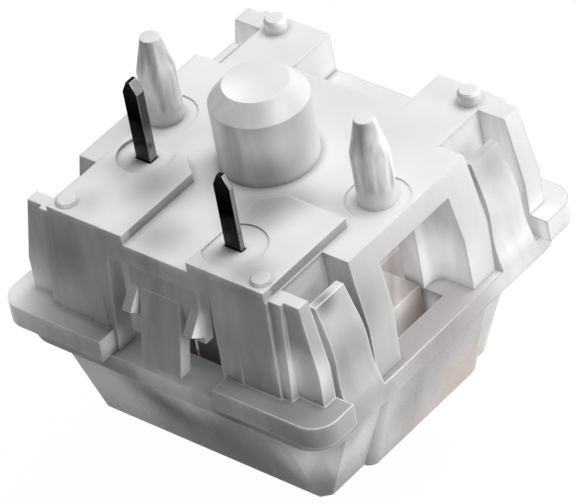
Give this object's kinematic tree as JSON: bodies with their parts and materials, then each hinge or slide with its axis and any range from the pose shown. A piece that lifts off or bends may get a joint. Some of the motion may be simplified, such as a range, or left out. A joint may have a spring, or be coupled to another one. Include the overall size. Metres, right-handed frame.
{
  "type": "keyboard switch",
  "caption": "Key switch for a keyboard: translucent snap-together casing, sprung stem with a key cross, locating post, fixing pins and solder contacts.",
  "frame": {"origin": "middle of the stem's cross at its tip, the end that carries the keycap", "axes": "+Z from the keycap side to the circuit board, along the stem's travel; +X along the two fixing pins; the solder contacts lie on the side of -Y"},
  "size_m": [0.0156, 0.0156, 0.018],
  "materials": {
    "casing_plastic": "satin, milky translucent",
    "cover_plastic": "satin, milky translucent",
    "stem_plastic": "satin",
    "spring_wire": "bright",
    "contact_metal": "bright tinned",
    "leaf_metal": "bright",
    "point_metal": "bright"
  },
  "bodies": {
    "housing": {"bottom_housing": "casing_plastic", "top_housing": "cover_plastic", "fixed_contact": "contact_metal", "fixed_contact_point": "point_metal", "sprung_contact_carrier": "contact_metal", "return_spring": "spring_wire"},
    "plunger": {"stem": "stem_plastic"},
    "leaf": {"contact_leaf": "leaf_metal", "leaf_contact_point": "point_metal"}
  },
  "joints": [
    {"name": "stem_slide", "type": "slide", "parent": "housing", "child": "plunger", "axis": [0, 0, 1], "range_m": [0, 0.004], "stiffness_N_per_m": 150, "deforming": ["return_spring"]},
    {"name": "leaf_flex", "type": "hinge", "parent": "housing", "child": "leaf", "pos_m": [0, -0.00486, 0.0125], "axis": [1, 0, 0], "range_deg": [0, 2.8]}
  ],
  "couplings": [
    {"joint": "leaf_flex", "follows": "stem_slide", "rad_per_m": 11.95}
  ]
}
